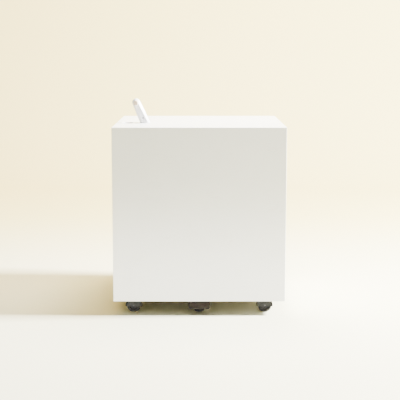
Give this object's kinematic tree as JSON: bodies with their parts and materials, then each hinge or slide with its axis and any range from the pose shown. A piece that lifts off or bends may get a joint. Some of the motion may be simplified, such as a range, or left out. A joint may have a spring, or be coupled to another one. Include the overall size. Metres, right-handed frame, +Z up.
{
  "type": "display plinth",
  "caption": "Mobile white display plinth: mitred cube case on hooded twin-wheel castors, with a pedal floor lock under the front edge and a folding T-handle on top.",
  "frame": {"origin": "on the floor, under the centre of the case", "axes": "+Z up, the front with the lock pedal faces -Y, +X to the right as seen from the front"},
  "size_m": [0.45, 0.45, 0.5596],
  "materials": {
    "white_lacquer": "satin white lacquer over fibreboard",
    "plywood": "sanded birch plywood",
    "pine": "planed softwood",
    "grey_nylon": "moulded dark grey nylon",
    "black_nylon": "moulded black nylon",
    "black_rubber": "matt rubber",
    "zinc_steel": "bright zinc plate",
    "pedal_coat": "dark grey powder coat",
    "white_coat": "white powder coat",
    "beech": "oiled beech"
  },
  "bodies": {
    "case": {"top_board": "white_lacquer", "front_board": "white_lacquer", "back_board": "white_lacquer", "left_board": "white_lacquer", "right_board": "white_lacquer", "base_board": "plywood", "corner_post_front_left": "pine", "corner_post_front_right": "pine", "corner_post_back_left": "pine", "corner_post_back_right": "pine", "base_screws": "zinc_steel", "castor_plate_front_left": "zinc_steel", "castor_plate_front_right": "zinc_steel", "castor_plate_back_left": "zinc_steel", "castor_plate_back_right": "zinc_steel", "castor_kingpins": "zinc_steel", "castor_screws": "zinc_steel", "handle_base": "white_coat", "handle_screws": "zinc_steel", "lock_guide": "black_nylon", "lock_bracket": "zinc_steel", "lock_screws": "zinc_steel", "pedal_pivot_pin": "zinc_steel", "lock_spring": "zinc_steel"},
    "castor_front_left": {"castor_hood_front_left": "grey_nylon", "castor_axle_front_left": "zinc_steel"},
    "wheel_front_left_a": {"wheel_hub_front_left_a": "black_nylon", "tyre_front_left_a": "black_rubber"},
    "wheel_front_left_b": {"wheel_hub_front_left_b": "black_nylon", "tyre_front_left_b": "black_rubber"},
    "castor_front_right": {"castor_hood_front_right": "grey_nylon", "castor_axle_front_right": "zinc_steel"},
    "wheel_front_right_a": {"wheel_hub_front_right_a": "black_nylon", "tyre_front_right_a": "black_rubber"},
    "wheel_front_right_b": {"wheel_hub_front_right_b": "black_nylon", "tyre_front_right_b": "black_rubber"},
    "castor_back_left": {"castor_hood_back_left": "grey_nylon", "castor_axle_back_left": "zinc_steel"},
    "wheel_back_left_a": {"wheel_hub_back_left_a": "black_nylon", "tyre_back_left_a": "black_rubber"},
    "wheel_back_left_b": {"wheel_hub_back_left_b": "black_nylon", "tyre_back_left_b": "black_rubber"},
    "castor_back_right": {"castor_hood_back_right": "grey_nylon", "castor_axle_back_right": "zinc_steel"},
    "wheel_back_right_a": {"wheel_hub_back_right_a": "black_nylon", "tyre_back_right_a": "black_rubber"},
    "wheel_back_right_b": {"wheel_hub_back_right_b": "black_nylon", "tyre_back_right_b": "black_rubber"},
    "handle": {"handle_lever": "white_coat", "handle_grip": "beech", "handle_pin": "zinc_steel"},
    "lock_pedal_body": {"lock_pedal": "pedal_coat"},
    "lock_plunger_body": {"lock_plunger": "zinc_steel", "lock_pad": "black_rubber", "lock_spring_retainer": "zinc_steel", "plunger_cross_pin": "zinc_steel"}
  },
  "joints": [
    {"name": "swivel_front_left", "type": "hinge", "parent": "case", "child": "castor_front_left", "pos_m": [-0.162, -0.174, 0.044], "axis": [0, 0, 1], "continuous": true},
    {"name": "roll_front_left_a", "type": "hinge", "parent": "castor_front_left", "child": "wheel_front_left_a", "pos_m": [-0.174, -0.174, 0.018], "axis": [0, 1, 0], "continuous": true},
    {"name": "roll_front_left_b", "type": "hinge", "parent": "castor_front_left", "child": "wheel_front_left_b", "pos_m": [-0.174, -0.174, 0.018], "axis": [0, 1, 0], "continuous": true},
    {"name": "swivel_front_right", "type": "hinge", "parent": "case", "child": "castor_front_right", "pos_m": [0.162, -0.174, 0.044], "axis": [0, 0, 1], "continuous": true},
    {"name": "roll_front_right_a", "type": "hinge", "parent": "castor_front_right", "child": "wheel_front_right_a", "pos_m": [0.174, -0.174, 0.018], "axis": [0, 1, 0], "continuous": true},
    {"name": "roll_front_right_b", "type": "hinge", "parent": "castor_front_right", "child": "wheel_front_right_b", "pos_m": [0.174, -0.174, 0.018], "axis": [0, 1, 0], "continuous": true},
    {"name": "swivel_back_left", "type": "hinge", "parent": "case", "child": "castor_back_left", "pos_m": [-0.162, 0.174, 0.044], "axis": [0, 0, 1], "continuous": true},
    {"name": "roll_back_left_a", "type": "hinge", "parent": "castor_back_left", "child": "wheel_back_left_a", "pos_m": [-0.174, 0.174, 0.018], "axis": [0, 1, 0], "continuous": true},
    {"name": "roll_back_left_b", "type": "hinge", "parent": "castor_back_left", "child": "wheel_back_left_b", "pos_m": [-0.174, 0.174, 0.018], "axis": [0, 1, 0], "continuous": true},
    {"name": "swivel_back_right", "type": "hinge", "parent": "case", "child": "castor_back_right", "pos_m": [0.162, 0.174, 0.044], "axis": [0, 0, 1], "continuous": true},
    {"name": "roll_back_right_a", "type": "hinge", "parent": "castor_back_right", "child": "wheel_back_right_a", "pos_m": [0.174, 0.174, 0.018], "axis": [0, 1, 0], "continuous": true},
    {"name": "roll_back_right_b", "type": "hinge", "parent": "castor_back_right", "child": "wheel_back_right_b", "pos_m": [0.174, 0.174, 0.018], "axis": [0, 1, 0], "continuous": true},
    {"name": "handle_fold", "type": "hinge", "parent": "case", "child": "handle", "pos_m": [-0.152, -0.06, 0.5075], "axis": [0, 1, 0], "range_deg": [-66, 0]},
    {"name": "pedal_tilt", "type": "hinge", "parent": "case", "child": "lock_pedal_body", "pos_m": [0, -0.155, 0.03], "axis": [1, 0, 0], "range_deg": [-9, 1.2]},
    {"name": "plunger_slide", "type": "slide", "parent": "case", "child": "lock_plunger_body", "axis": [0, 0, 1], "range_m": [-0.0004, 0.003], "deforming": ["lock_spring"]}
  ],
  "couplings": [
    {"joint": "plunger_slide", "follows": "pedal_tilt", "m_per_rad": -0.019}
  ]
}
